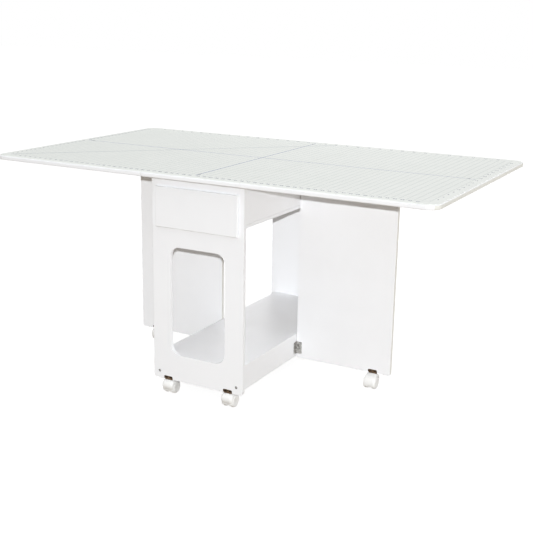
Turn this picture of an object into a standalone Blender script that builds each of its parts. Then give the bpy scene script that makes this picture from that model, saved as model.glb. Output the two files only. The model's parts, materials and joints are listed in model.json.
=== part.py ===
"""Drop-leaf cutting and sewing table on casters: a narrow cabinet with a drawer and an open shelf,
two hinged gate legs, a top in three boards and a cutting mat. Metres, +Z up, front at -Y.
The origin lies on the floor, under the middle of the top."""

import math

import bmesh
import bpy
from mathutils import Matrix, Vector

# Boards and fits
BOARD = 0.016
EDGE_ROUND = 0.001
EDGE_STEPS = 2
SEAT = 0.0003

# Tabletop and mat
TOP_LENGTH = 1.815
TOP_DEPTH = 1.058
TOP_UNDERSIDE = 0.842
TOP_CORNER = 0.045
TOP_EDGE_ROUND = 0.004
TOP_EDGE_STEPS = 3
FOLD_OVERHANG = 0.010
LEAF_GAP = 0.0009
MAT_THICK = 0.0017
MAT_EDGE_ROUND = 0.0006
MAT_MARGIN = 0.005

# Cabinet
END_OVERHANG = 0.054
END_WIDTH = 0.390
END_CORNER = 0.014
SIDE_INSET = 0.018
SKIRT_RISE = 0.006
SKIRT_HEIGHT = 0.096
BAY_HEIGHT = 0.164
BAY_FLOOR = 0.013
HOLE_WIDTH = 0.234
HOLE_RISE = 0.003
HOLE_HEADROOM = 0.095
HOLE_CORNER = 0.038

# Screws through the front panel into the skirts
SCREW_RISE = 0.023
SCREW_HEAD_RADIUS = 0.0056
SCREW_HEAD_THICK = 0.0016
SCREW_HEAD_ROUND = 0.0008
SCREW_RADIUS = 0.0025
SCREW_GRIP = 0.034

# Drawer
DRAWER_LENGTH = 0.420
DRAWER_HEIGHT = 0.086
DRAWER_BOARD = 0.012
DRAWER_LIFT = 0.004
DRAWER_SIDE_ROOM = 0.011
DRAWER_BASE_THICK = 0.004
DRAWER_BASE_LIFT = 0.005
FRONT_SIDE_MARGIN = 0.022
FRONT_BELOW = 0.040
FRONT_ABOVE = 0.024
FRONT_THICK = 0.012
FRONT_EDGE_ROUND = 0.003
FRONT_EDGE_STEPS = 3
MOUTH_ROOM = 0.003
RUNNER_SETBACK = 0.020
RUNNER_HEIGHT = 0.012
RUNNER_BITE = 0.006
RUNNER_ROOM = 0.0005

# Gate legs and their butt hinges
GATE_WIDTH = 0.407
GATE_CORNER = 0.008
GATE_SIDE_ROOM = 0.001
GATE_CASTER_INSET = 0.073
HINGE_HEIGHT = 0.050
HINGE_WIDTH = 0.021
HINGE_THICK = 0.0015
KNUCKLE_RADIUS = 0.0030
KNUCKLES = 5
KNUCKLE_ROOM = 0.0004
PIN_RADIUS = 0.0013
PIN_HEAD_RADIUS = 0.0025
PIN_HEAD_THICK = 0.0010
LOWER_HINGE_RISE = 0.012
UPPER_HINGE_RISE = 0.052

# Long hinges let into the underside at the two fold lines
PIANO_INSET = 0.060
PIANO_WIDTH = 0.020
PIANO_THICK = 0.0012
PIANO_RADIUS = 0.0024
PIANO_PIN = 0.0011
PIANO_KNUCKLES = 7
PIANO_COVER = 0.0002

# Casters: hooded twin wheels on stems set in notches of the panels' lower edges
CASTER_SPREAD = 0.131
CASTER_ROOM = 0.007
NOTCH_WIDTH = 0.038
NOTCH_HEIGHT = 0.013
NOTCH_CORNER = 0.005
NOTCH_WALL = 0.003
STEM_RADIUS = 0.004
STEM_GRIP = 0.030
STEM_BITE = 0.022
COLLAR_ROOM = 0.001
WHEEL_RADIUS = 0.025
WHEEL_WIDTH = 0.0185
WHEEL_ROUND = 0.005
WHEEL_ROOM = 0.0008
HUB_RADIUS = 0.014
HUB_DISH = 0.0017
AXLE_RADIUS = 0.0025
WEB_WIDTH = 0.0135
TRAIL = 0.016
HOOD_WALL = 0.0025
HOOD_ROUND = 0.007
HOOD_ROUND_STEPS = 3
HOOD_BOTTOM = 0.011
BOSS_RADIUS = 0.0085
BOSS_ROOM = 0.0035

# Roundness of turned pieces and of corners
TURN_STEPS = 20
PIN_STEPS = 12
CORNER_STEPS = 6
SHARP_ANGLE = math.radians(35)

# Places worked out from the sizes above
AXLE_Z = WHEEL_RADIUS * math.cos(math.pi / TURN_STEPS)
HOOD_RADIUS = WHEEL_RADIUS + WHEEL_ROOM + HOOD_WALL
END_BOTTOM = AXLE_Z + HOOD_RADIUS + CASTER_ROOM
BOSS_TOP = END_BOTTOM - BOSS_ROOM
NOTCH_TOP = END_BOTTOM + NOTCH_HEIGHT
STEM_SETBACK = (BOARD - NOTCH_WALL) / 2
STEM_COLLAR = STEM_SETBACK - COLLAR_ROOM
SIDE_FACE = END_WIDTH / 2 - SIDE_INSET
SIDE_INNER = SIDE_FACE - BOARD
CABINET_DEPTH = TOP_DEPTH - 2 * END_OVERHANG
FRONT_OUT = -CABINET_DEPTH / 2
FRONT_IN = FRONT_OUT + BOARD
REAR_IN = CABINET_DEPTH / 2 - BOARD
INSIDE_LENGTH = REAR_IN - FRONT_IN - 2 * SEAT
SKIRT_BOTTOM = END_BOTTOM + SKIRT_RISE
SHELF_TOP = SKIRT_BOTTOM + SKIRT_HEIGHT
SCREW_HEIGHT = SKIRT_BOTTOM + SCREW_RISE
SCREW_X = SIDE_INNER + BOARD / 2
RUNNER_LENGTH = DRAWER_LENGTH - RUNNER_SETBACK
PANEL_TOP = TOP_UNDERSIDE - SEAT
PANEL_HEIGHT = PANEL_TOP - END_BOTTOM
BAY_BOTTOM = TOP_UNDERSIDE - BAY_HEIGHT
BAY_TOP = BAY_BOTTOM + BAY_FLOOR
HOLE_BOTTOM = SHELF_TOP + HOLE_RISE
HOLE_TOP = BAY_BOTTOM - HOLE_HEADROOM
FOLD = END_WIDTH / 2 + FOLD_OVERHANG
PIANO_LENGTH = TOP_DEPTH - 2 * PIANO_INSET
PIANO_Z = TOP_UNDERSIDE + PIANO_COVER + PIANO_RADIUS
MAT_BOTTOM = TOP_UNDERSIDE + BOARD + SEAT
GATE_INNER = SIDE_FACE + GATE_SIDE_ROOM
GATE_AXIS_X = SIDE_FACE + SEAT + KNUCKLE_RADIUS
GATE_AXIS_Y = -BOARD / 2 - SEAT - KNUCKLE_RADIUS
GATE_CASTER_X = GATE_INNER + GATE_WIDTH - GATE_CASTER_INSET
DRAWER_HALF = SIDE_INNER - DRAWER_SIDE_ROOM
DRAWER_INNER = DRAWER_HALF - DRAWER_BOARD
DRAWER_Z = BAY_TOP + DRAWER_LIFT
DRAWER_TOP = DRAWER_Z + DRAWER_HEIGHT

SIDES = {"left": -1, "right": 1}
X, Y, Z = Vector((1, 0, 0)), Vector((0, 1, 0)), Vector((0, 0, 1))


def clear_scene():
    for obj in list(bpy.data.objects):
        bpy.data.objects.remove(obj, do_unlink=True)


def make_material(name, colour, roughness, metallic=0.0):
    material = bpy.data.materials.new(name)
    material.use_nodes = True
    shader = material.node_tree.nodes["Principled BSDF"]
    shader.inputs["Base Color"].default_value = (*colour, 1.0)
    shader.inputs["Roughness"].default_value = roughness
    shader.inputs["Metallic"].default_value = metallic
    material.diffuse_color = (*colour, 1.0)
    return material


def axes(x_axis, y_axis):
    """The turn that takes the local x and y axes to these directions."""
    z_axis = x_axis.cross(y_axis)
    return Matrix((x_axis, y_axis, z_axis)).transposed()


UPRIGHT = axes(X, Z)


def put(obj, place, carrier):
    """Links an object at a place in the table's frame, under what carries it."""
    bpy.context.scene.collection.objects.link(obj)
    obj.parent = carrier
    offset = Vector(place)
    while carrier:
        offset -= carrier.location
        carrier = carrier.parent
    obj.location = offset
    return obj


def joint_empty(name, place, carrier=None):
    """An empty on a joint's axis, which carries the pieces that move with it."""
    return put(bpy.data.objects.new(name, None), place, carrier)


def node(name, mesh, material, place=(0, 0, 0), turn=None, carrier=None):
    """One piece, at a place and turn in the table's frame."""
    if not mesh.materials:
        mesh.materials.append(material)
    obj = put(bpy.data.objects.new(name, mesh), place, carrier)
    if turn is not None:
        obj.rotation_euler = turn.to_euler()
    return obj


def as_mesh(bm, name="shape", smooth=False):
    bmesh.ops.recalc_face_normals(bm, faces=bm.faces)
    mesh = bpy.data.meshes.new(name)
    bm.to_mesh(mesh)
    bm.free()
    if smooth:
        mesh.shade_smooth()
        mesh.set_sharp_from_angle(angle=SHARP_ANGLE)
    return mesh


def block(low, high):
    """A box between two corners."""
    bm = bmesh.new()
    low, high = Vector(low), Vector(high)
    shape = Matrix.LocRotScale((low + high) / 2, None, high - low)
    bmesh.ops.create_cube(bm, size=1.0, matrix=shape)
    return bm


def soften(bm, edges, width, steps=EDGE_STEPS):
    bmesh.ops.bevel(
        bm, geom=edges, offset=width, offset_type="OFFSET", segments=steps, profile=0.5, affect="EDGES"
    )


def board_mesh(size):
    """A plain board about its own middle, with eased edges."""
    half = Vector(size) / 2
    bm = block(-half, half)
    soften(bm, list(bm.edges), EDGE_ROUND)
    return as_mesh(bm)


def rounded_outline(x0, x1, y0, y1, radii):
    """A rectangle with a radius at each corner: low left, low right, high right, high left."""
    corners = ((x0, y0, 1, 1), (x1, y0, -1, 1), (x1, y1, -1, -1), (x0, y1, 1, -1))
    points = []
    for turn, ((x, y, sx, sy), radius) in enumerate(zip(corners, radii)):
        if radius <= 0:
            points.append((x, y))
            continue
        start = math.pi + turn * math.pi / 2
        for step in range(CORNER_STEPS + 1):
            angle = start + step / CORNER_STEPS * math.pi / 2
            across = sx + math.cos(angle)
            up = sy + math.sin(angle)
            points.append((x + radius * across, y + radius * up))
    return points


def prism(outline, low, high):
    """An outline in the local xy plane, drawn out from z = low to z = high."""
    bm = bmesh.new()
    face = bm.faces.new([bm.verts.new((x, y, low)) for x, y in outline])
    grown = bmesh.ops.extrude_face_region(bm, geom=[face])
    top = [item for item in grown["geom"] if isinstance(item, bmesh.types.BMVert)]
    bmesh.ops.translate(bm, verts=top, vec=(0, 0, high - low))
    return bm


def rod(radius, low, high, steps=PIN_STEPS):
    return turned([(0, high), (radius, high), (radius, low), (0, low)], steps)


def turned(profile, steps=TURN_STEPS):
    """A profile of (radius, z), top to bottom, turned about the local z axis."""
    bm = bmesh.new()
    ring = [bm.verts.new((radius, 0, z)) for radius, z in profile]
    edges = [bm.edges.new(pair) for pair in zip(ring, ring[1:])]
    bmesh.ops.spin(
        bm, geom=ring + edges, cent=(0, 0, 0), axis=(0, 0, 1), angle=2 * math.pi, steps=steps, use_merge=True
    )
    bmesh.ops.remove_doubles(bm, verts=bm.verts, dist=1e-6)
    bmesh.ops.recalc_face_normals(bm, faces=bm.faces)
    return bm


def moved(bm, vec):
    bmesh.ops.translate(bm, verts=bm.verts, vec=vec)
    return bm


def rotated(bm, turn):
    bmesh.ops.transform(bm, matrix=turn.to_4x4(), verts=bm.verts)
    return bm


def worked(base, steps, smooth=False):
    """The base shape after each (operation, shape) of the list, UNION or DIFFERENCE, as one mesh."""
    body = bpy.data.objects.new("body", as_mesh(base))
    tools = []
    bpy.context.scene.collection.objects.link(body)
    for operation, shape in steps:
        tool = bpy.data.objects.new("tool", as_mesh(shape))
        bpy.context.scene.collection.objects.link(tool)
        tools.append(tool)
        modifier = body.modifiers.new(operation, "BOOLEAN")
        modifier.operation = operation
        modifier.object = tool
    graph = bpy.context.evaluated_depsgraph_get()
    mesh = bpy.data.meshes.new_from_object(body.evaluated_get(graph))
    for obj in [body, *tools]:
        bpy.data.objects.remove(obj, do_unlink=True)
    if smooth:
        mesh.shade_smooth()
        mesh.set_sharp_from_angle(angle=SHARP_ANGLE)
    return mesh


def knuckle_span(index, length, knuckles):
    """The low and high end of one knuckle, a little short of its neighbours."""
    low = length * (index / knuckles - 0.5)
    high = length * ((index + 1) / knuckles - 0.5)
    if index > 0:
        low += KNUCKLE_ROOM / 2
    if index < knuckles - 1:
        high -= KNUCKLE_ROOM / 2
    return low, high


def strung_knuckles(length, radius, pin, knuckles, owned):
    """The solid knuckles of a hinge half that carries the pin, and the pin, as one turned shape."""
    profile = [(0, length / 2)]
    for index in reversed(range(knuckles)):
        low, high = knuckle_span(index, length, knuckles)
        if index in owned:
            profile += [(pin, high)] if index < knuckles - 1 else []
            profile += [(radius, high), (radius, low)]
            profile += [(pin, low)] if index > 0 else []
    profile.append((0, -length / 2))
    return turned(profile, PIN_STEPS)


def hinge_leaf(length, width, thick, radius, knuckles, owned, bore=0.0, pin=0.0):
    """Half of a hinge, with a bore through its knuckles, or else with its own pin.
    The axis is the local z axis, and the plate runs out along +x at y = -radius."""
    near = radius + KNUCKLE_ROOM
    plate = block((near, -radius, -length / 2), (width, thick - radius, length / 2))
    steps = []
    for index in owned:
        low, high = knuckle_span(index, length, knuckles)
        steps.append(("UNION", block((0, -radius, low), (near + thick, thick - radius, high))))
        if bore:
            steps.append(("UNION", rod(radius, low, high)))
    if bore:
        steps.append(("DIFFERENCE", rod(bore, -length, length)))
    else:
        steps.append(("UNION", strung_knuckles(length, radius, pin, knuckles, owned)))
    return worked(plate, steps, smooth=True)


def end_panel_mesh(width, corner, notch_centres, cuts):
    """An upright panel: x along its width, y up from its lower edge, face at z = BOARD."""
    outline = rounded_outline(-width / 2, width / 2, 0, PANEL_HEIGHT, (corner, corner, 0, 0))
    bm = prism(outline, 0, BOARD)
    rims = [edge for edge in bm.edges if edge.verts[0].co.z == edge.verts[1].co.z]
    soften(bm, rims, EDGE_ROUND)
    steps = list(cuts)
    for x in notch_centres:
        notch = rounded_outline(
            x - NOTCH_WIDTH / 2, x + NOTCH_WIDTH / 2, -BOARD, NOTCH_HEIGHT, (0, 0, NOTCH_CORNER, NOTCH_CORNER)
        )
        steps.append(("DIFFERENCE", prism(notch, NOTCH_WALL, 2 * BOARD)))
        bore = rod(STEM_RADIUS + SEAT, NOTCH_HEIGHT - BOARD, NOTCH_HEIGHT + STEM_GRIP)
        stem_at = (x, 0, BOARD - STEM_SETBACK)
        steps.append(("DIFFERENCE", moved(rotated(bore, axes(X, -Z)), stem_at)))
    return worked(bm, steps)


def make_cabinet(white, steel):
    notches = (-CASTER_SPREAD, CASTER_SPREAD)
    hole = rounded_outline(
        -HOLE_WIDTH / 2, HOLE_WIDTH / 2, HOLE_BOTTOM - END_BOTTOM, HOLE_TOP - END_BOTTOM, (HOLE_CORNER,) * 4
    )
    mouth = rounded_outline(
        -DRAWER_HALF - MOUTH_ROOM,
        DRAWER_HALF + MOUTH_ROOM,
        DRAWER_Z - MOUTH_ROOM - END_BOTTOM,
        DRAWER_TOP + MOUTH_ROOM - END_BOTTOM,
        (0,) * 4,
    )
    cuts = [("DIFFERENCE", prism(outline, -BOARD, 2 * BOARD)) for outline in (hole, mouth)]
    for x in (-SCREW_X, SCREW_X):
        bore = rod(SCREW_RADIUS + SEAT, -BOARD, 2 * BOARD)
        cuts.append(("DIFFERENCE", moved(bore, (x, SCREW_HEIGHT - END_BOTTOM, 0))))
    front = end_panel_mesh(END_WIDTH, END_CORNER, notches, cuts)
    node("front_panel", front, white, (0, FRONT_IN, END_BOTTOM), UPRIGHT)
    rear = end_panel_mesh(END_WIDTH, END_CORNER, notches, [])
    node("rear_panel", rear, white, (0, REAR_IN, END_BOTTOM), axes(-X, Z))

    middle = (FRONT_IN + REAR_IN) / 2
    shelf = board_mesh((2 * (SIDE_INNER - SEAT), INSIDE_LENGTH, BOARD))
    node("shelf", shelf, white, (0, middle, SHELF_TOP - BOARD / 2))
    floor = board_mesh((2 * SIDE_FACE, INSIDE_LENGTH, BAY_FLOOR))
    node("bay_floor", floor, white, (0, middle, BAY_BOTTOM + BAY_FLOOR / 2))
    apron_low = BAY_TOP + SEAT
    for side, sign in SIDES.items():
        x = sign * SCREW_X
        skirt_half = Vector((BOARD, INSIDE_LENGTH, SKIRT_HEIGHT)) / 2
        bm = block(-skirt_half, skirt_half)
        soften(bm, list(bm.edges), EDGE_ROUND)
        skirt_z = SKIRT_BOTTOM + SKIRT_HEIGHT / 2
        pilot = rod(SCREW_RADIUS + SEAT, -SCREW_GRIP - SEAT, SCREW_GRIP + SEAT)
        pilot_at = (0, -INSIDE_LENGTH / 2, SCREW_HEIGHT - skirt_z)
        skirt = worked(bm, [("DIFFERENCE", moved(rotated(pilot, axes(X, Z)), pilot_at))])
        node(f"{side}_skirt", skirt, white, (x, middle, skirt_z))
        apron = board_mesh((BOARD, INSIDE_LENGTH, PANEL_TOP - apron_low))
        node(f"{side}_apron", apron, white, (x, middle, (PANEL_TOP + apron_low) / 2))
        head = SEAT + SCREW_HEAD_THICK
        screw = turned(
            [
                (0, head),
                (SCREW_HEAD_RADIUS - SCREW_HEAD_ROUND, head),
                (SCREW_HEAD_RADIUS, head - SCREW_HEAD_ROUND),
                (SCREW_HEAD_RADIUS, SEAT),
                (SCREW_RADIUS, SEAT),
                (SCREW_RADIUS, -BOARD - SCREW_GRIP),
                (0, -BOARD - SCREW_GRIP),
            ],
            PIN_STEPS,
        )
        place = (x, FRONT_OUT, SCREW_HEIGHT)
        node(f"front_{side}_screw", as_mesh(screw, smooth=True), steel, place, UPRIGHT)


def top_sheet(x0, x1, half_depth, thick, corners, edge, steps):
    """A board of the top, or its mat, with eased edges but for those on a fold line.
    The radii at its left and right corners are zero on the side that meets a fold line."""
    left, right = corners
    bm = prism(rounded_outline(x0, x1, -half_depth, half_depth, (left, right, right, left)), 0, thick)
    folds = [x for x, corner in ((x0, left), (x1, right)) if not corner]
    rims = []
    for rim in bm.edges:
        a, b = (vert.co for vert in rim.verts)
        on_fold = any(max(abs(a.x - x), abs(b.x - x)) < edge for x in folds)
        if a.z == b.z and not on_fold:
            rims.append(rim)
    soften(bm, rims, edge, steps)
    return bm


def hinge_let_ins(sign, centre_side):
    """The shallow seat and the knuckle groove under a fold line, for the board on one side of it."""
    reach = -sign if centre_side else sign
    seat_x = sorted((sign * FOLD, sign * FOLD + reach * (PIANO_WIDTH + SEAT)))
    groove = PIANO_RADIUS + KNUCKLE_ROOM
    half = PIANO_LENGTH / 2 + SEAT
    seat_top = PIANO_COVER + PIANO_THICK + SEAT
    seat = block((seat_x[0], -half, -BOARD), (seat_x[1], half, seat_top))
    groove_top = PIANO_COVER + 2 * PIANO_RADIUS + KNUCKLE_ROOM
    trough = block((sign * FOLD - groove, -half, -BOARD), (sign * FOLD + groove, half, groove_top))
    return [("DIFFERENCE", seat), ("DIFFERENCE", trough)]


def make_top(white, mat_green, steel):
    near, far = FOLD - LEAF_GAP / 2, FOLD + LEAF_GAP / 2
    end, mat_end = TOP_LENGTH / 2, TOP_LENGTH / 2 - MAT_MARGIN
    half, mat_half = TOP_DEPTH / 2, TOP_DEPTH / 2 - MAT_MARGIN
    mat_corner = TOP_CORNER - MAT_MARGIN
    centre = top_sheet(-near, near, half, BOARD, (0, 0), TOP_EDGE_ROUND, TOP_EDGE_STEPS)
    cuts = hinge_let_ins(-1, True) + hinge_let_ins(1, True)
    node("centre_top", worked(centre, cuts), white, (0, 0, TOP_UNDERSIDE))
    mat = top_sheet(-near, near, mat_half, MAT_THICK, (0, 0), MAT_EDGE_ROUND, 1)
    node("centre_mat", as_mesh(mat), mat_green, (0, 0, MAT_BOTTOM))

    own_fixed = [index for index in range(PIANO_KNUCKLES) if index % 2 == 0]
    own_moving = [index for index in range(PIANO_KNUCKLES) if index % 2]
    sizes = (PIANO_LENGTH, PIANO_WIDTH, PIANO_THICK, PIANO_RADIUS, PIANO_KNUCKLES)
    fixed = hinge_leaf(*sizes, own_fixed, pin=PIANO_PIN)
    moving = hinge_leaf(*sizes, own_moving, bore=PIANO_PIN + SEAT)
    for side, sign in SIDES.items():
        axis = (sign * FOLD, 0, PIANO_Z)
        carrier = joint_empty(f"{side}_leaf_axis", axis)
        x0, x1 = sorted((sign * far, sign * end))
        corners = (TOP_CORNER, 0) if sign < 0 else (0, TOP_CORNER)
        leaf = top_sheet(x0, x1, half, BOARD, corners, TOP_EDGE_ROUND, TOP_EDGE_STEPS)
        leaf_mesh = worked(leaf, hinge_let_ins(sign, False))
        node(f"{side}_leaf", leaf_mesh, white, (0, 0, TOP_UNDERSIDE), None, carrier)
        x0, x1 = sorted((sign * far, sign * mat_end))
        corners = (mat_corner, 0) if sign < 0 else (0, mat_corner)
        mat = top_sheet(x0, x1, mat_half, MAT_THICK, corners, MAT_EDGE_ROUND, 1)
        node(f"{side}_mat", as_mesh(mat), mat_green, (0, 0, MAT_BOTTOM), None, carrier)
        node(f"{side}_leaf_hinge_plate", fixed, steel, axis, axes(-sign * X, Z))
        node(f"{side}_leaf_hinge_flap", moving, steel, axis, axes(sign * X, Z), carrier)


def make_gates(white, steel):
    own_plate = [index for index in range(KNUCKLES) if index % 2 == 0]
    own_flap = [index for index in range(KNUCKLES) if index % 2]
    sizes = (HINGE_HEIGHT, HINGE_WIDTH, HINGE_THICK, KNUCKLE_RADIUS, KNUCKLES)
    plate = hinge_leaf(*sizes, own_plate, bore=PIN_RADIUS + SEAT)
    flap = hinge_leaf(*sizes, own_flap, bore=PIN_RADIUS + SEAT)
    head = HINGE_HEIGHT / 2 + SEAT
    profile = [
        (0, head + PIN_HEAD_THICK),
        (PIN_HEAD_RADIUS, head + PIN_HEAD_THICK),
        (PIN_HEAD_RADIUS, head),
        (PIN_RADIUS, head),
        (PIN_RADIUS, -HINGE_HEIGHT / 2),
        (0, -HINGE_HEIGHT / 2),
    ]
    pin = as_mesh(turned(profile, PIN_STEPS), smooth=True)
    levels = {"lower": SKIRT_BOTTOM + LOWER_HINGE_RISE, "upper": BAY_TOP + UPPER_HINGE_RISE}
    caster_x = GATE_WIDTH / 2 - GATE_CASTER_INSET
    for side, sign in SIDES.items():
        axis_x = sign * GATE_AXIS_X
        carrier = joint_empty(f"{side}_gate_axis", (axis_x, GATE_AXIS_Y, 0))
        gate = end_panel_mesh(GATE_WIDTH, GATE_CORNER, (sign * caster_x,), [])
        centre = sign * (GATE_INNER + GATE_WIDTH / 2)
        node(f"{side}_gate", gate, white, (centre, BOARD / 2, END_BOTTOM), UPRIGHT, carrier)
        for level, low in levels.items():
            place = (axis_x, GATE_AXIS_Y, low + HINGE_HEIGHT / 2)
            name = f"{side}_{level}_hinge"
            node(f"{name}_plate", plate, steel, place, axes(-Y, sign * X))
            node(f"{name}_flap", flap, steel, place, axes(sign * X, -Y), carrier)
            node(f"{name}_pin", pin, steel, place)


def make_drawer(white, lining, plastic):
    carrier = joint_empty("drawer_slide", (0, FRONT_OUT, DRAWER_Z))
    low, high = DRAWER_Z - FRONT_BELOW, DRAWER_TOP + FRONT_ABOVE
    half = Vector((END_WIDTH / 2 - FRONT_SIDE_MARGIN, FRONT_THICK / 2, (high - low) / 2))
    bm = block(-half, half)
    face_rims = [edge for edge in bm.edges if max(vert.co.y for vert in edge.verts) < 0]
    soften(bm, face_rims, FRONT_EDGE_ROUND, FRONT_EDGE_STEPS)
    front_y = FRONT_OUT - SEAT - FRONT_THICK / 2
    node("drawer_front", as_mesh(bm), white, (0, front_y, (low + high) / 2), None, carrier)

    runner_z = (DRAWER_Z + DRAWER_TOP) / 2
    groove = DRAWER_HALF - RUNNER_BITE - RUNNER_ROOM
    groove_half = RUNNER_HEIGHT / 2 + RUNNER_ROOM
    outline = [
        (DRAWER_INNER, DRAWER_Z),
        (DRAWER_HALF, DRAWER_Z),
        (DRAWER_HALF, runner_z - groove_half),
        (groove, runner_z - groove_half),
        (groove, runner_z + groove_half),
        (DRAWER_HALF, runner_z + groove_half),
        (DRAWER_HALF, DRAWER_TOP),
        (DRAWER_INNER, DRAWER_TOP),
    ]
    back_y = FRONT_OUT + DRAWER_LENGTH
    tip = DRAWER_HALF - RUNNER_BITE
    runner_width = SIDE_INNER - SEAT - tip
    for side, sign in SIDES.items():
        bm = prism([(sign * x, z) for x, z in outline], 0, DRAWER_LENGTH)
        node(f"drawer_{side}_side", as_mesh(bm), lining, (0, back_y, 0), UPRIGHT, carrier)
        runner = board_mesh((runner_width, RUNNER_LENGTH, RUNNER_HEIGHT))
        place = (sign * (tip + runner_width / 2), FRONT_IN + SEAT + RUNNER_LENGTH / 2, runner_z)
        node(f"{side}_runner", runner, plastic, place)
    inner = DRAWER_INNER - SEAT
    back = board_mesh((2 * inner, DRAWER_BOARD, DRAWER_HEIGHT))
    node("drawer_back", back, lining, (0, back_y - DRAWER_BOARD / 2, runner_z), None, carrier)
    base_end = DRAWER_LENGTH - DRAWER_BOARD - SEAT
    base = as_mesh(block((-inner, 0, 0), (inner, base_end, DRAWER_BASE_THICK)))
    node("drawer_bottom", base, lining, (0, FRONT_OUT, DRAWER_Z + DRAWER_BASE_LIFT), None, carrier)


def hood_mesh():
    """The caster's body about its swivel axis, with the wheels trailing along +y."""
    pocket = WHEEL_RADIUS + WHEEL_ROOM
    half = WEB_WIDTH / 2 + WHEEL_ROOM + WHEEL_WIDTH
    reach = 2 * HOOD_RADIUS
    across = axes(Y, Z)
    axle_at = (0, TRAIL, AXLE_Z)
    shell = rod(HOOD_RADIUS, -half, half, TURN_STEPS)
    level = [edge for edge in shell.edges if abs(edge.verts[0].co.z - edge.verts[1].co.z) < EDGE_ROUND]
    rims = [edge for edge in level if edge.calc_face_angle() > SHARP_ANGLE]
    soften(shell, rims, HOOD_ROUND, HOOD_ROUND_STEPS)
    shell = moved(rotated(shell, across), axle_at)
    steps = [
        ("UNION", rod(BOSS_RADIUS, AXLE_Z, BOSS_TOP, TURN_STEPS)),
        ("DIFFERENCE", block((-reach, -reach, -reach), (reach, reach + TRAIL, HOOD_BOTTOM))),
    ]
    for sign in SIDES.values():
        low, high = sorted((sign * WEB_WIDTH / 2, sign * reach))
        hollow = rotated(rod(pocket, low, high, TURN_STEPS), across)
        steps.append(("DIFFERENCE", moved(hollow, axle_at)))
    axle_bore = rotated(rod(AXLE_RADIUS + SEAT, -reach, reach), across)
    steps.append(("DIFFERENCE", moved(axle_bore, axle_at)))
    steps.append(("DIFFERENCE", rod(STEM_RADIUS + SEAT, BOSS_TOP - STEM_BITE - SEAT, 2 * BOSS_TOP)))
    return worked(shell, steps, smooth=True)


def wheels_mesh():
    """Both wheels on their axle, turned about the local z axis, with a flat of the tread at the bottom."""
    near = WEB_WIDTH / 2 + WHEEL_ROOM / 2
    far = near + WHEEL_WIDTH
    profile = [
        (0, far - HUB_DISH),
        (HUB_RADIUS, far - HUB_DISH),
        (HUB_RADIUS + HUB_DISH, far),
        (WHEEL_RADIUS - WHEEL_ROUND, far),
        (WHEEL_RADIUS - WHEEL_ROUND * (1 - math.sqrt(0.5)), far - WHEEL_ROUND * (1 - math.sqrt(0.5))),
        (WHEEL_RADIUS, far - WHEEL_ROUND),
        (WHEEL_RADIUS, near),
        (AXLE_RADIUS, near),
    ]
    profile += [(radius, -z) for radius, z in reversed(profile)]
    half_step = Matrix.Rotation(math.pi / TURN_STEPS, 3, "Z")
    return as_mesh(rotated(turned(profile), half_step), smooth=True)


def stem_mesh():
    """The steel stem, from inside the hood up into the panel; z = 0 at the floor."""
    ceiling = NOTCH_TOP - SEAT
    profile = [
        (0, NOTCH_TOP + STEM_GRIP - SEAT),
        (STEM_RADIUS, NOTCH_TOP + STEM_GRIP - SEAT),
        (STEM_RADIUS, ceiling),
        (STEM_COLLAR, ceiling),
        (STEM_COLLAR, BOSS_TOP + SEAT),
        (STEM_RADIUS, BOSS_TOP + SEAT),
        (STEM_RADIUS, BOSS_TOP - STEM_BITE),
        (0, BOSS_TOP - STEM_BITE),
    ]
    return as_mesh(turned(profile, PIN_STEPS), smooth=True)


def make_casters(steel, plastic):
    hood, wheels, stem = hood_mesh(), wheels_mesh(), stem_mesh()
    front_y = FRONT_OUT + STEM_SETBACK
    spots = []
    for side, sign in SIDES.items():
        gate_axis = bpy.data.objects[f"{side}_gate_axis"]
        spots.append((f"front_{side}", sign * CASTER_SPREAD, front_y, 1, None))
        spots.append((f"rear_{side}", sign * CASTER_SPREAD, -front_y, -1, None))
        spots.append((f"{side}_gate", sign * GATE_CASTER_X, STEM_SETBACK - BOARD / 2, -sign, gate_axis))
    for name, x, y, trail, carrier in spots:
        node(f"{name}_caster_stem", stem, steel, (x, y, 0), None, carrier)
        swivel = joint_empty(f"{name}_caster_swivel", (x, y, 0), carrier)
        axle = joint_empty(f"{name}_caster_axle", (x, y + trail * TRAIL, AXLE_Z), swivel)
        node(f"{name}_caster_hood", hood, plastic, (x, y, 0), axes(trail * X, trail * Y), swivel)
        node(f"{name}_caster_wheels", wheels, plastic, (x, y + trail * TRAIL, AXLE_Z), axes(Y, Z), axle)


def main():
    clear_scene()
    white = make_material("white_melamine", (0.86, 0.86, 0.88), 0.35)
    lining = make_material("drawer_lining", (0.83, 0.83, 0.84), 0.5)
    mat_green = make_material("cutting_mat", (0.74, 0.78, 0.77), 0.6)
    steel = make_material("plated_steel", (0.55, 0.55, 0.56), 0.35, 1.0)
    plastic = make_material("white_plastic", (0.85, 0.85, 0.84), 0.4)
    make_cabinet(white, steel)
    make_top(white, mat_green, steel)
    make_gates(white, steel)
    make_drawer(white, lining, plastic)
    make_casters(steel, plastic)


main()
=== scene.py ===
import json
import math

import bmesh
import bpy
from mathutils import Matrix, Vector


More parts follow.
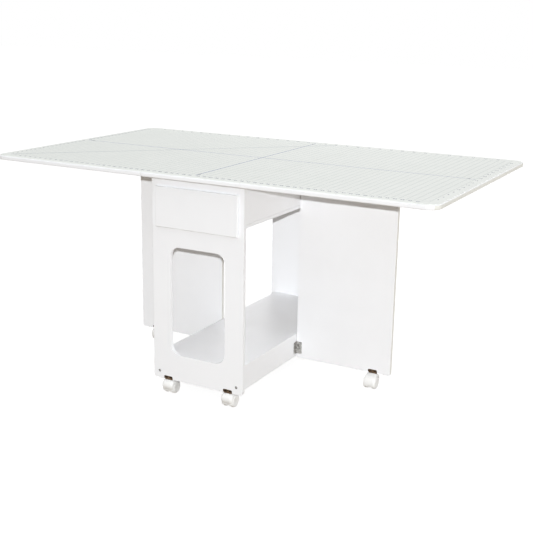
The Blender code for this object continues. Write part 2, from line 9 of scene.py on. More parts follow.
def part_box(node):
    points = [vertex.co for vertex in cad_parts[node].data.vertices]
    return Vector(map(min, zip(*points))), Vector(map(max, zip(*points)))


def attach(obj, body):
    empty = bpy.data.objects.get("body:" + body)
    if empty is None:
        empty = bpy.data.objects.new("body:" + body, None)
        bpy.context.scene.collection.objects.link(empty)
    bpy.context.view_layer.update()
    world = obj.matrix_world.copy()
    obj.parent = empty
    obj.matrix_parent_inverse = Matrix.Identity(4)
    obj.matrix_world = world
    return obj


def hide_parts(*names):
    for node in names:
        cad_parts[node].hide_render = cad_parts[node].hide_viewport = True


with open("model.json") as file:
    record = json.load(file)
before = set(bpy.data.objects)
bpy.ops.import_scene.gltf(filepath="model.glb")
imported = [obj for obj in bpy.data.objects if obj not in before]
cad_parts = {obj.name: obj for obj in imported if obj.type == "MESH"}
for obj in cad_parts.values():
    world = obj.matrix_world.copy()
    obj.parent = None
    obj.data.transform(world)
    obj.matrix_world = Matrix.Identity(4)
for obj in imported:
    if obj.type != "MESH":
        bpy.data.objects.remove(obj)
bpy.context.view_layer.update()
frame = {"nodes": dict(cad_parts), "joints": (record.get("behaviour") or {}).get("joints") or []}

scene = bpy.context.scene
xAxis, yAxis, zAxis = Vector((1, 0, 0)), Vector((0, 1, 0)), Vector((0, 0, 1))
sides = {"left": -1, "right": 1}
jointAt = {joint["name"]: joint.get("pos_m") for joint in frame["joints"]}
inch = 0.0254
tiny = 1e-5        # metres, for telling edges apart
weld = 1e-7        # metres, points closer than this are one


# mesh helpers

def boxBm(low, high):
    bm = bmesh.new()
    low, high = Vector(low), Vector(high)
    bmesh.ops.create_cube(bm, size=1.0, matrix=Matrix.LocRotScale((low + high) / 2, None, high - low))
    return bm


def roundEdges(bm, edges, width, steps):
    bmesh.ops.bevel(
        bm, geom=edges, offset=width, offset_type="OFFSET", segments=steps,
        profile=0.5, affect="EDGES", material=-1, clamp_overlap=True,
    )


def edgesAlong(bm, axis):        # edges of a box that run along one axis
    return [e for e in bm.edges if abs((e.verts[0].co - e.verts[1].co)[axis]) > tiny]


def slabBm(low, high, axis, radius, steps):        # box with its edges along one axis rounded
    bm = boxBm(low, high)
    roundEdges(bm, edgesAlong(bm, axis), radius, steps)
    return bm


def sharpEdges(bm, least=40):        # edges that bend by more than this many degrees
    limit = math.radians(least)
    return [e for e in bm.edges if len(e.link_faces) == 2 and e.calc_face_angle() > limit]


def facesAlong(face, axis):        # whether a face looks along an axis
    return abs(face.normal[axis]) > 0.7


def facedOut(bm):        # recalculated faces of a flat shape can come out inside out
    bmesh.ops.recalc_face_normals(bm, faces=bm.faces)
    if bm.calc_volume(signed=True) < 0:
        bmesh.ops.reverse_faces(bm, faces=bm.faces)
    return bm


def spinBm(profile, steps, closed=False):        # (radius, height) points turned about Z
    bm = bmesh.new()
    verts = [bm.verts.new((r, 0, z)) for r, z in profile]
    pairs = list(zip(verts, verts[1:]))
    if closed:
        pairs.append((verts[-1], verts[0]))
    edges = [bm.edges.new(pair) for pair in pairs]
    bmesh.ops.spin(
        bm, geom=verts + edges, cent=(0, 0, 0), axis=(0, 0, 1),
        angle=2 * math.pi, steps=steps, use_merge=True,
    )
    bmesh.ops.remove_doubles(bm, verts=bm.verts, dist=weld)
    return facedOut(bm)


def rodBm(radius, start, end, steps):        # plain round rod along Z
    return spinBm([(0, start), (radius, start), (radius, end), (0, end)], steps)


def arc(centre, radius, start, end, steps):        # (radius, height) points of a fillet, degrees
    points = []
    for step in range(steps + 1):
        angle = math.radians(start + (end - start) * step / steps)
        points.append((centre[0] + radius * math.cos(angle), centre[1] + radius * math.sin(angle)))
    return points


def turnTo(xTo, yTo, place=(0, 0, 0)):        # local x and y laid along these directions, at a place
    turn = Matrix((xTo, yTo, xTo.cross(yTo))).transposed()
    return Matrix.Translation(place) @ turn.to_4x4()


def moved(bm, matrix):
    bmesh.ops.transform(bm, matrix=matrix, verts=bm.verts)
    return bm


def joined(target, bm):        # adds one bmesh to another and frees it
    mesh = bpy.data.meshes.new("joined")
    bm.to_mesh(mesh)
    bm.free()
    target.from_mesh(mesh)
    bpy.data.meshes.remove(mesh)


carving = {"past": 0.01, "weld": 1e-6, "flat": 0.002}        # reach past a board, doubles, level faces


def looseObject(bm):
    mesh = bpy.data.meshes.new("loose")
    facedOut(bm).to_mesh(mesh)
    bm.free()
    obj = bpy.data.objects.new("loose", mesh)
    scene.collection.objects.link(obj)
    return obj


def carved(base, tools):        # Boolean work on throw-away objects
    body = looseObject(base)
    loose = [body]
    for operation, tool in tools:
        cutter = looseObject(tool)
        loose.append(cutter)
        modifier = body.modifiers.new(operation, "BOOLEAN")
        modifier.operation = operation
        modifier.object = cutter
    graph = bpy.context.evaluated_depsgraph_get()
    result = bmesh.new()
    result.from_mesh(body.evaluated_get(graph).data)
    for obj in loose:
        mesh = obj.data
        bpy.data.objects.remove(obj, do_unlink=True)
        bpy.data.meshes.remove(mesh)
    bmesh.ops.remove_doubles(result, verts=result.verts, dist=carving["weld"])
    bmesh.ops.dissolve_limit(result, angle_limit=carving["flat"], verts=result.verts, edges=result.edges)
    return result


crispOver = 35        # degrees, edges that bend by more stay crisp


def asMesh(bm, name, finishes, smooth=crispOver):
    mesh = bpy.data.meshes.new(name)
    bm.to_mesh(mesh)
    bm.free()
    for finish in finishes:
        mesh.materials.append(finish)
    mesh.shade_smooth()
    mesh.set_sharp_from_angle(angle=math.radians(smooth))
    return mesh


def addPiece(name, bm, finishes, body, stands=(), smooth=crispOver, flatFaces=False):
    piece = bpy.data.objects.new(name, asMesh(bm, name, finishes, smooth))
    scene.collection.objects.link(piece)
    if flatFaces:        # keeps broad faces flat between their rounded edges
        weighted = piece.modifiers.new("flat faces", "WEIGHTED_NORMAL")
        weighted.keep_sharp = True
        weighted.weight = 100
    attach(piece, body)
    if stands:
        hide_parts(*stands)


# finishes

noiseLook = {"roughness": 0.55, "low": 0.3, "high": 0.7}        # most of a noise lies from low to high


def addNode(tree, kind, inputs, **settings):
    node = tree.nodes.new("ShaderNode" + kind)
    for key, value in settings.items():
        setattr(node, key, value)
    for key, value in inputs.items():
        if isinstance(value, bpy.types.NodeSocket):
            tree.links.new(value, node.inputs[key])
        else:
            node.inputs[key].default_value = value
    return node


def newFinish(name, roughness, metallic=0.0):
    finish = bpy.data.materials.new(name)
    finish.use_nodes = True
    shader = finish.node_tree.nodes["Principled BSDF"]
    shader.inputs["Roughness"].default_value = roughness
    shader.inputs["Metallic"].default_value = metallic
    return finish, finish.node_tree, shader


def objectCoords(tree, stretch=(1, 1, 1)):
    coords = addNode(tree, "TexCoord", {}).outputs["Object"]
    return addNode(tree, "Mapping", {"Vector": coords, "Scale": stretch}).outputs["Vector"]


def noise(tree, coords, scale, detail):
    settings = {"Vector": coords, "Scale": scale, "Detail": detail, "Roughness": noiseLook["roughness"]}
    return addNode(tree, "TexNoise", settings).outputs["Fac"]


def ramp(tree, factor, stops):        # (position, colour) stops
    node = addNode(tree, "ValToRGB", {"Fac": factor})
    elements = node.color_ramp.elements
    while len(elements) < len(stops):
        elements.new(0.5)
    for element, (position, colour) in zip(elements, stops):
        element.position = position
        element.color = (*colour, 1.0)
    return node.outputs["Color"]


def tinted(tree, factor, look):        # from the look's dark tint to its pale one
    low, high = look["stops"]
    return ramp(tree, factor, [(low, look["dark"]), (high, look["pale"])])


def spread(tree, factor, low, high):        # a noise laid over a range of values
    settings = {"Value": factor, "From Min": noiseLook["low"], "From Max": noiseLook["high"]}
    settings |= {"To Min": low, "To Max": high}
    return addNode(tree, "MapRange", settings).outputs["Result"]


def bump(tree, shader, height, strength, distance):
    settings = {"Height": height, "Strength": strength, "Distance": distance}
    tree.links.new(addNode(tree, "Bump", settings).outputs["Normal"], shader.inputs["Normal"])


def maths(tree, operation, first, second=0.0):
    return addNode(tree, "Math", {0: first, 1: second}, operation=operation).outputs["Value"]


def allOf(tree, *masks):
    result = masks[0]
    for mask in masks[1:]:
        result = maths(tree, "MULTIPLY", result, mask)
    return result


def anyOf(tree, *masks):
    result = masks[0]
    for mask in masks[1:]:
        result = maths(tree, "MAXIMUM", result, mask)
    return result


def lineMask(tree, coord, spacing, width):        # 1 on lines a spacing apart
    away = maths(tree, "PINGPONG", coord, spacing / 2)
    return maths(tree, "LESS_THAN", away, width / 2)


def inkOver(tree, mask, under, ink):
    node = addNode(tree, "Mix", {0: mask, 6: under, 7: (*ink, 1.0)}, data_type="RGBA")
    return node.outputs[2]


facedLook = {"stops": (0.35, 0.65), "cloudDetail": 4.0, "peelDetail": 2.0, "peelDepth": 0.0002}
melamineLook = facedLook | {
    "pale": (0.896, 0.904, 0.926), "dark": (0.882, 0.890, 0.912), "gloss": (0.36, 0.46),
    "cloudScale": 7.0, "peelScale": 1100.0, "peel": 0.10,
}
# duller, darker band on the ends of the top and the edges of the gates: partly the band's own tone, partly
# painted shade on those edges
edgeBandAndShadeLook = facedLook | {
    "pale": (0.800, 0.802, 0.762), "dark": (0.772, 0.774, 0.732), "gloss": (0.40, 0.50),
    "cloudScale": 16.0, "peelScale": 700.0, "peel": 0.14,
}
liningLook = facedLook | {
    "pale": (0.840, 0.838, 0.832), "dark": (0.800, 0.797, 0.788), "gloss": (0.50, 0.62),
    "cloudScale": 24.0, "peelScale": 500.0, "peel": 0.20,
}
nylonLook = facedLook | {
    "pale": (0.862, 0.862, 0.856), "dark": (0.838, 0.838, 0.830), "gloss": (0.32, 0.42),
    "cloudScale": 60.0, "peelScale": 1600.0, "peel": 0.16,
}


def facedFinish(name, look):        # smooth face: clouded tint, fine orange peel, uneven gloss
    finish, tree, shader = newFinish(name, look["gloss"][0])
    coords = objectCoords(tree)
    cloud = noise(tree, coords, look["cloudScale"], look["cloudDetail"])
    peel = noise(tree, coords, look["peelScale"], look["peelDetail"])
    tree.links.new(tinted(tree, cloud, look), shader.inputs["Base Color"])
    tree.links.new(spread(tree, cloud, *look["gloss"]), shader.inputs["Roughness"])
    bump(tree, shader, peel, look["peel"], look["peelDepth"])
    return finish


drawnLook = {
    "stops": (0.3, 0.7), "patch": 140.0, "patchDetail": 2.0,
    "grain": (90.0, 90.0, 1400.0), "grainDetail": 3.0, "grainBump": 0.12, "grainDepth": 0.0001,
}
# the wide step from dark to pale paints the bright and dark reflections of the zinc
zincAndReflectionLook = drawnLook | {"gloss": (0.26, 0.44), "pale": (0.72, 0.71, 0.69), "dark": (0.20, 0.19, 0.18)}
# near-black steel for the insides of screw slots: painted shade in the recess
slotShadeSteelLook = drawnLook | {"gloss": (0.40, 0.58), "pale": (0.10, 0.095, 0.09), "dark": (0.04, 0.037, 0.034)}
# dark brown for the caster pins and their notch plates: a bronzed finish, darkened as painted shade in the
# notch
bronzeAndShadeLook = drawnLook | {"gloss": (0.38, 0.55), "pale": (0.20, 0.135, 0.085), "dark": (0.075, 0.05, 0.032)}


def metalFinish(name, look):        # metal with a drawn grain, and pale and dark patches that paint varied reflections
    finish, tree, shader = newFinish(name, look["gloss"][0], 1.0)
    grain = noise(tree, objectCoords(tree, look["grain"]), 1.0, look["grainDetail"])
    patch = noise(tree, objectCoords(tree), look["patch"], look["patchDetail"])
    tree.links.new(tinted(tree, patch, look), shader.inputs["Base Color"])
    tree.links.new(spread(tree, grain, *look["gloss"]), shader.inputs["Roughness"])
    bump(tree, shader, grain, look["grainBump"], look["grainDepth"])
    return finish


# very dark browns: the raw board's own colour with painted shade of the notch laid over it
shadedChipLook = {
    "stops": [(0.05, (0.06, 0.036, 0.022)), (0.25, (0.13, 0.080, 0.048)), (0.6, (0.28, 0.18, 0.11))],
    "rough": 0.85, "flake": 190.0, "crumb": 420.0, "crumbDetail": 4.0, "crumbBump": 0.5, "crumbDepth": 0.0004,
}


def chipFinish():        # raw chipboard where a notch is routed out, darkened past bare board as painted shade in the notch
    finish, tree, shader = newFinish("raw_chipboard", shadedChipLook["rough"])
    coords = objectCoords(tree)
    flake = addNode(tree, "TexVoronoi", {"Vector": coords, "Scale": shadedChipLook["flake"]}).outputs["Color"]
    crumb = noise(tree, coords, shadedChipLook["crumb"], shadedChipLook["crumbDetail"])
    mixed = maths(tree, "MULTIPLY", flake, crumb)
    tree.links.new(ramp(tree, mixed, shadedChipLook["stops"]), shader.inputs["Base Color"])
    bump(tree, shader, crumb, shadedChipLook["crumbBump"], shadedChipLook["crumbDepth"])
    return finish


matLook = {
    "pale": (0.838, 0.856, 0.828), "dark": (0.820, 0.840, 0.811), "stops": (0.35, 0.65),
    "rough": 0.75, "sheen": 0.15, "cloudScale": 9.0, "cloudDetail": 4.0,
    "grainScale": 1500.0, "grainDetail": 2.0, "grainBump": 0.25, "grainDepth": 0.0002,
    "gridX": 34, "gridY": 19,        # inches from the middle to the edges of the grid
    "fineWidth": 0.0018, "boldWidth": 0.0030, "tickWidth": 0.0004, "tickLength": 0.0040,
    "slantWidth": 0.0042, "slantShift": 15,        # along the mat, the shift from the middle in inches
    "fineInk": (0.56, 0.60, 0.585), "boldInk": (0.06, 0.10, 0.30), "slantInk": (0.22, 0.26, 0.33),
}


def matFinish():        # cutting mat: inch grid, middle lines, a slanting line and a ruler round the edge
    finish, tree, shader = newFinish("gridded_mat", matLook["rough"])
    coords = objectCoords(tree)
    parts = addNode(tree, "SeparateXYZ", {"Vector": coords}).outputs
    along, across = parts["X"], parts["Y"]
    halfX, halfY = matLook["gridX"] * inch, matLook["gridY"] * inch
    fine, bold = matLook["fineWidth"], matLook["boldWidth"]
    farX, farY = maths(tree, "ABSOLUTE", along), maths(tree, "ABSOLUTE", across)
    inX = maths(tree, "LESS_THAN", farX, halfX + fine / 2)
    inY = maths(tree, "LESS_THAN", farY, halfY + fine / 2)
    inside = allOf(tree, inX, inY)
    lines = anyOf(tree, lineMask(tree, along, inch, fine), lineMask(tree, across, inch, fine))
    printed = [allOf(tree, lines, inside)]
    for coord, inCoord, far, half in ((along, inX, farY, halfY), (across, inY, farX, halfX)):        # ruler
        past = maths(tree, "SUBTRACT", far, half)
        outside = maths(tree, "GREATER_THAN", past, 0.0)
        near = maths(tree, "LESS_THAN", past, matLook["tickLength"])
        ticks = lineMask(tree, coord, inch, matLook["tickWidth"])
        printed.append(allOf(tree, ticks, near, outside, inCoord))

    slant = maths(tree, "SUBTRACT", along, across)
    slant = maths(tree, "ADD", slant, matLook["slantShift"] * inch)
    slant = maths(tree, "ABSOLUTE", slant)
    slant = allOf(tree, maths(tree, "LESS_THAN", slant, matLook["slantWidth"] / 2), inside)
    middle = [maths(tree, "LESS_THAN", far, bold / 2) for far in (farX, farY)]
    middle = allOf(tree, anyOf(tree, *middle), inside)

    colour = tinted(tree, noise(tree, coords, matLook["cloudScale"], matLook["cloudDetail"]), matLook)
    colour = inkOver(tree, anyOf(tree, *printed), colour, matLook["fineInk"])
    colour = inkOver(tree, slant, colour, matLook["slantInk"])
    colour = inkOver(tree, middle, colour, matLook["boldInk"])
    tree.links.new(colour, shader.inputs["Base Color"])
    shader.inputs["Specular IOR Level"].default_value = matLook["sheen"]
    grain = noise(tree, coords, matLook["grainScale"], matLook["grainDetail"])
    bump(tree, shader, grain, matLook["grainBump"], matLook["grainDepth"])
    return finish


inkLook = {
    "dark": (0.07, 0.08, 0.12), "pale": (0.17, 0.19, 0.26), "stops": (0.3, 0.75),
    "rough": 0.5, "wearScale": 900.0, "wearDetail": 3.0,
}


def inkFinish():        # printed figures on the mat
    finish, tree, shader = newFinish("mat_ink", inkLook["rough"])
    wear = noise(tree, objectCoords(tree), inkLook["wearScale"], inkLook["wearDetail"])
    tree.links.new(tinted(tree, wear, inkLook), shader.inputs["Base Color"])
    return finish


melamine = facedFinish("white_sheet", melamineLook)
edgeBandAndShade = facedFinish("edge_band", edgeBandAndShadeLook)
lining = facedFinish("drawer_foil", liningLook)
nylon = facedFinish("white_nylon", nylonLook)
zincAndReflections = metalFinish("zinc_plate", zincAndReflectionLook)
slotShadeSteel = metalFinish("dull_steel", slotShadeSteelLook)
bronzeAndShade = metalFinish("bronzed_steel", bronzeAndShadeLook)
shadedChipboard, matSheet, ink = chipFinish(), matFinish(), inkFinish()
print("finishes ready")


# carried-over boards keep their solids and get the finish

def dressNodes(names, finish):
    for name in names:
        mesh = frame["nodes"][name].data
        mesh.materials.clear()
        mesh.materials.append(finish)


plainBoards = ["shelf", "bay_floor"] + [f"{side}_{board}" for side in sides for board in ("skirt", "apron")]
drawerBoards = ["drawer_back", "drawer_bottom"] + [f"drawer_{side}_side" for side in sides]
dressNodes(plainBoards, melamine)
dressNodes(drawerBoards, lining)
dressNodes([f"{side}_runner" for side in sides], nylon)
dressNodes([f"{side}_leaf_hinge_{half}" for side in sides for half in ("plate", "flap")], zincAndReflections)
print("carried-over boards dressed")


# upright panels: two ends and two gates

panel = {
    "endCorner": 0.014, "gateCorner": 0.008, "cornerSteps": 10, "edgeRound": 0.0008, "edgeSteps": 2,
    "notchWidth": 0.038, "notchHeight": 0.013, "notchCorner": 0.005, "notchSteps": 6, "notchWall": 0.003,
}
frontHole = {"width": 0.234, "aboveShelf": 0.003, "belowBay": 0.095, "corner": 0.038, "cornerSteps": 14}
drawerMouth = {"room": 0.003}


def notchBox(node, x, outward):        # low and high corner of the notch over a caster
    low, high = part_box(node)
    wall, half = panel["notchWall"], panel["notchWidth"] / 2
    y0, y1 = (low.y - wall, high.y - wall) if outward < 0 else (low.y + wall, high.y + wall)
    return Vector((x - half, y0, low.z - half)), Vector((x + half, y1, low.z + panel["notchHeight"]))


def panelPiece(name, node, body, outward, stemXs, corner, edge, cuts=()):
    low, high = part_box(node)
    bm = boxBm(low, high)
    feet = [e for e in edgesAlong(bm, 1) if max(v.co.z for v in e.verts) < low.z + tiny]
    roundEdges(bm, feet, corner, panel["cornerSteps"])
    notches = [notchBox(node, x, outward) for x in stemXs]
    cutters = [*cuts, *(slabBm(a, b, 1, panel["notchCorner"], panel["notchSteps"]) for a, b in notches)]
    bm = carved(bm, [("DIFFERENCE", cutter) for cutter in cutters])
    for face in bm.faces:
        spot = face.calc_center_median()
        if any(all(a[i] - tiny < spot[i] < b[i] + tiny for i in range(3)) for a, b in notches):
            face.material_index = 2        # raw board in the notch, darkened as painted shade
        elif not facesAlong(face, 1):
            face.material_index = 1        # banded edge; on the gates its darker band partly paints the shade on their edges
    roundEdges(bm, sharpEdges(bm), panel["edgeRound"], panel["edgeSteps"])
    addPiece(name, bm, [melamine, edge, shadedChipboard], body, [node], flatFaces=True)


stemX = {}        # where each caster's stem stands
stemY = {}
for name, place in jointAt.items():
    if name.endswith("_caster_swivel"):
        spot = name.removesuffix("_caster_swivel")
        stemX[spot], stemY[spot] = place[:2]

frontLow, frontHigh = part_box("front_panel")
throughY = (frontLow.y - carving["past"], frontHigh.y + carving["past"])
holeLow = Vector((-frontHole["width"] / 2, throughY[0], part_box("shelf")[1].z + frontHole["aboveShelf"]))
holeHigh = Vector((frontHole["width"] / 2, throughY[1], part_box("bay_floor")[0].z - frontHole["belowBay"]))
hole = slabBm(holeLow, holeHigh, 1, frontHole["corner"], frontHole["cornerSteps"])
mouthRoom = Vector((drawerMouth["room"], 0, drawerMouth["room"]))
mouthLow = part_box("drawer_left_side")[0] - mouthRoom
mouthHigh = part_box("drawer_right_side")[1] + mouthRoom
mouth = boxBm((mouthLow.x, throughY[0], mouthLow.z), (mouthHigh.x, throughY[1], mouthHigh.z))
endStems, endCorner = [stemX["front_left"], stemX["front_right"]], panel["endCorner"]
panelPiece("front_end_board", "front_panel", "cabinet", -1, endStems, endCorner, melamine, [hole, mouth])
panelPiece("rear_end_board", "rear_panel", "cabinet", 1, endStems, endCorner, melamine)
for side in sides:
    gate = f"{side}_gate"
    panelPiece(f"{gate}_board", gate, gate, -1, [stemX[gate]], panel["gateCorner"], edgeBandAndShade)
print("upright panels done")


# top boards, with the long hinges let into their undersides

top = {"corner": 0.045, "cornerSteps": 16, "rim": 0.004, "rimSteps": 4}
longHinge = {
    "width": 0.020, "thick": 0.0012, "knuckle": 0.0024, "room": 0.0004,
    "screws": 12, "screwInset": 0.040, "screwAt": 0.0125,
    "screwRadius": 0.0031, "screwRise": 0.00015, "screwSunk": 0.0010, "screwTurn": 0.6,
}


def onFold(edge, folds):
    return any(all(abs(v.co.x - x) < tiny for v in edge.verts) for x in folds)


def sheetBm(low, high, sizes, folds, lowest=-1.0):        # square at its folds and below a height
    bm = boxBm(low, high)
    outer = [e for e in edgesAlong(bm, 2) if not onFold(e, folds)]
    if outer:
        roundEdges(bm, outer, sizes["corner"], sizes["cornerSteps"])
    for face in bm.faces:
        if facesAlong(face, 0):        # the ends have a duller, darker band: partly the band's own tone, partly painted shade of the end edges
            face.material_index = 1
    level = [e for e in bm.edges if abs(e.verts[0].co.z - e.verts[1].co.z) < tiny]
    level = [e for e in level if e.verts[0].co.z > lowest and not onFold(e, folds)]
    roundEdges(bm, level, sizes["rim"], sizes["rimSteps"])
    return bm


def hingeSeats(side, reach):        # shallow seat of one hinge leaf and the groove for its knuckles
    plateLow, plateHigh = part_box(f"{side}_leaf_hinge_plate")
    hingeX = jointAt[f"{side}_leaf_lift"][0]
    room, groove = longHinge["room"], longHinge["knuckle"] + longHinge["room"]
    y0, y1 = plateLow.y - room, plateHigh.y + room
    seatX = sorted((hingeX, hingeX + reach * (longHinge["width"] + room)))
    deep = plateLow.z - carving["past"]
    seat = boxBm((seatX[0], y0, deep), (seatX[1], y1, plateLow.z + longHinge["thick"] + room))
    trough = boxBm((hingeX - groove, y0, deep), (hingeX + groove, y1, plateHigh.z + room))
    return [("DIFFERENCE", seat), ("DIFFERENCE", trough)]


def topPiece(name, node, body, folds, seats):
    low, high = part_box(node)
    bm = carved(sheetBm(low, high, top, folds), seats)
    addPiece(name, bm, [melamine, edgeBandAndShade], body, [node], flatFaces=True)


def foldsOf(node, side=None):        # x of the board's edges that lie on a fold line
    low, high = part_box(node)
    return {"left": [high.x], "right": [low.x], None: [low.x, high.x]}[side]


centreSeats = hingeSeats("left", 1) + hingeSeats("right", -1)
topPiece("centre_top_board", "centre_top", "cabinet", foldsOf("centre_top"), centreSeats)
for side, sign in sides.items():
    leaf = f"{side}_leaf"
    topPiece(f"{leaf}_board", leaf, leaf, foldsOf(leaf, side), hingeSeats(side, sign))
print("top boards done")


# cutting mat in three sheets, with printed figures

mat = {"corner": 0.040, "cornerSteps": 14, "rim": 0.0014, "rimSteps": 3, "printRise": 0.00006}
figures = {
    "height": 0.0096, "fontShare": 0.73,        # a digit's height as a share of the font's size
    "pitch": 0.74, "weight": 0.0005, "clear": 0.0115, "beside": 0.0078,
}
arrows = {"length": 0.022, "width": 0.014, "inset": 1}        # inset in inches


def matPiece(name, node, body, side):
    low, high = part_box(node)
    low.z, high.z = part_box("centre_top")[1].z, high.z - mat["printRise"]        # lies on the board
    bm = sheetBm(low, high, mat, foldsOf(node, side), (low.z + high.z) / 2)
    addPiece(name, bm, [matSheet, matSheet], body, [node], flatFaces=True)


def digitMeshes():        # the ten figures as thin solids about their own middle
    meshes = {}
    for digit in "0123456789":
        text = bpy.data.curves.new("digit", "FONT")
        text.body, text.size = digit, figures["height"] / figures["fontShare"]
        text.align_x, text.align_y = "CENTER", "CENTER"
        text.offset = figures["weight"]
        text.extrude, text.resolution_u = mat["printRise"] / 2, 2
        obj = bpy.data.objects.new("digit", text)
        scene.collection.objects.link(obj)
        graph = bpy.context.evaluated_depsgraph_get()
        meshes[digit] = bpy.data.meshes.new_from_object(obj.evaluated_get(graph))
        bpy.data.objects.remove(obj, do_unlink=True)
        bpy.data.curves.remove(text)
    return meshes


digits = digitMeshes()
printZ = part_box("centre_mat")[1].z - mat["printRise"] / 2
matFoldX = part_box("centre_mat")[1].x
prints = {"left_leaf": bmesh.new(), "cabinet": bmesh.new(), "right_leaf": bmesh.new()}


def bodyAt(x):        # what carries the mat at this place
    if abs(x) < matFoldX:
        return "cabinet"
    return "left_leaf" if x < 0 else "right_leaf"


def printNumber(value, x, y):
    label = str(value)
    step = figures["height"] * figures["pitch"]
    target = prints[bodyAt(x)]
    for place, digit in enumerate(label):
        shape = bmesh.new()
        shape.from_mesh(digits[digit])
        bmesh.ops.remove_doubles(shape, verts=shape.verts, dist=weld)
        shift = x + (place - (len(label) - 1) / 2) * step
        joined(target, moved(shape, Matrix.Translation((shift, y, printZ))))


def printArrow(x, y, towards):        # pointer at the end of a middle line
    bm = bmesh.new()
    bmesh.ops.create_cone(
        bm, cap_ends=True, segments=3, radius1=1.0, radius2=1.0, depth=mat["printRise"],
    )
    # a triangle of radius 1 is 1.5 long and sqrt(3) wide
    size = Matrix.Diagonal((arrows["length"] / 1.5, arrows["width"] / math.sqrt(3), 1, 1))
    lead = min(bm.verts, key=lambda v: (abs(v.co.y), -v.co.x)).co.copy()
    spin = Matrix.Rotation(-math.atan2(lead.y, lead.x), 4, "Z")
    aim = Matrix.Rotation(math.atan2(towards[1], towards[0]), 4, "Z")
    joined(prints[bodyAt(x)], moved(bm, Matrix.Translation((x, y, printZ)) @ aim @ size @ spin))


def edgesWith(number, edge):        # every second number stands at the rear and the right too
    return (-edge, edge) if number % 2 == 0 else (-edge,)


gridX, gridY = matLook["gridX"], matLook["gridY"]
edgeX, edgeY = gridX * inch + figures["clear"], gridY * inch + figures["clear"]
for column in range(1, 2 * gridX):
    if column == gridX:
        continue        # the arrow stands there
    x = (column - gridX) * inch
    x -= math.copysign(figures["beside"], x)
    for y in edgesWith(column, edgeY):
        printNumber(column, x, y)
for row in range(1, 2 * gridY):
    if row == gridY:
        continue
    for x in edgesWith(row, edgeX):
        printNumber(row, x, (row - gridY) * inch)
for sign in (-1, 1):
    printArrow(sign * (gridX - arrows["inset"]) * inch, 0, (-sign, 0))
    printArrow(0, sign * (gridY - arrows["inset"]) * inch, (0, -sign))

matPiece("centre_gridded_mat", "centre_mat", "cabinet", None)
for side in sides:
    matPiece(f"{side}_gridded_mat", f"{side}_mat", f"{side}_leaf", side)
for body, bm in prints.items():
    name = "centre_mat_figures" if body == "cabinet" else body.replace("leaf", "mat_figures")
    bmesh.ops.recalc_face_normals(bm, faces=bm.faces)
    addPiece(name, bm, [ink], body)
for mesh in digits.values():
    bpy.data.meshes.remove(mesh)
print("cutting mat done")


# drawer front

drawerFront = {"faceRound": 0.003, "faceSteps": 5, "backRound": 0.0006, "backSteps": 2}


def drawerFrontPiece():
    low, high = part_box("drawer_front")
    bm = boxBm(low, high)
    faceRim = [e for e in bm.edges if all(abs(v.co.y - low.y) < tiny for v in e.verts)]
    roundEdges(bm, faceRim, drawerFront["faceRound"], drawerFront["faceSteps"])
    roundEdges(bm, sharpEdges(bm), drawerFront["backRound"], drawerFront["backSteps"])
    stands = ["drawer_front"]
    addPiece("drawer_face_board", bm, [melamine], "drawer", stands, flatFaces=True)


drawerFrontPiece()
print("drawer front done")


# screws

screw = {
    "steps": 24, "rim": 0.0004, "rimSteps": 3, "smooth": 30,
    "crown": 0.55, "foot": 0.6, "shoulder": 0.8,        # shares of the radius, the last of the height
    "slotWide": 0.22, "slotLong": 1.15, "slotDeep": 0.0011, "slotMost": 0.7,        # most of the whole height
}
frontScrew = {"sunk": 0.0002, "slotWide": 0.62, "slotLong": 1.88, "turn": -52}        # turn in degrees
screwFinishes = [zincAndReflections, slotShadeSteel]        # head, inside of its slot painted dark as shade


def screwHead(radius, height, sunk, single=None):        # about Z: top at z = height, foot at z = -sunk
    rim, shoulder = screw["rim"], height * screw["shoulder"]
    profile = [(0, height), (radius * screw["crown"], height), (radius - rim, shoulder)]
    profile += arc((radius - rim, shoulder - rim), rim, 75, 0, screw["rimSteps"])
    profile += [(radius * screw["foot"], -sunk), (0, -sunk)]
    wide, long = (radius * (single or screw)[key] / 2 for key in ("slotWide", "slotLong"))
    deep = min(screw["slotDeep"], (height + sunk) * screw["slotMost"])
    slots = [(long, wide)] if single else [(wide, long), (long, wide)]
    tools = [("DIFFERENCE", boxBm((-x, -y, height - deep), (x, y, height + deep))) for x, y in slots]
    head = carved(spinBm(profile, screw["steps"]), tools)
    for face in head.faces:        # the inside of the slot is painted near-black, as painted shade in the recess
        spot = face.calc_center_median()
        inSlot = any(abs(spot.x) < x + tiny and abs(spot.y) < y + tiny for x, y in slots)
        if inSlot and -sunk + tiny < spot.z < height - tiny:
            face.material_index = 1
    return head


def screwRow(sizes, places, yTo):        # heads along a hinge leaf, each turned further than the last
    heads = bmesh.new()
    for index, place in enumerate(places):
        head = screwHead(sizes["screwRadius"], sizes["screwRise"], sizes["screwSunk"])
        turn = Matrix.Rotation(sizes["screwTurn"] * index, 4, "Z")
        joined(heads, moved(head, turnTo(xAxis, yTo, place) @ turn))
    return heads


def evenSteps(count, length):        # places along a length, about its middle
    return [length * (step / (count - 1) - 0.5) for step in range(count)]


def addMetal(name, bm, finishes, body, stands=()):
    addPiece(name, bm, finishes, body, stands, screw["smooth"])


for side in sides:
    node = f"front_{side}_screw"
    low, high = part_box(node)
    centreX, centreZ, radius = (low.x + high.x) / 2, (low.z + high.z) / 2, (high.x - low.x) / 2
    bm = screwHead(radius, frontLow.y - low.y, frontScrew["sunk"], frontScrew)
    turn = Matrix.Rotation(math.radians(frontScrew["turn"]), 4, "Z")
    bm = moved(bm, turnTo(xAxis, zAxis, (centreX, frontLow.y, centreZ)) @ turn)
    addMetal(f"front_{side}_screw_head", bm, screwFinishes, "cabinet", [node])
print("front screws done")


# butt hinges of the gates

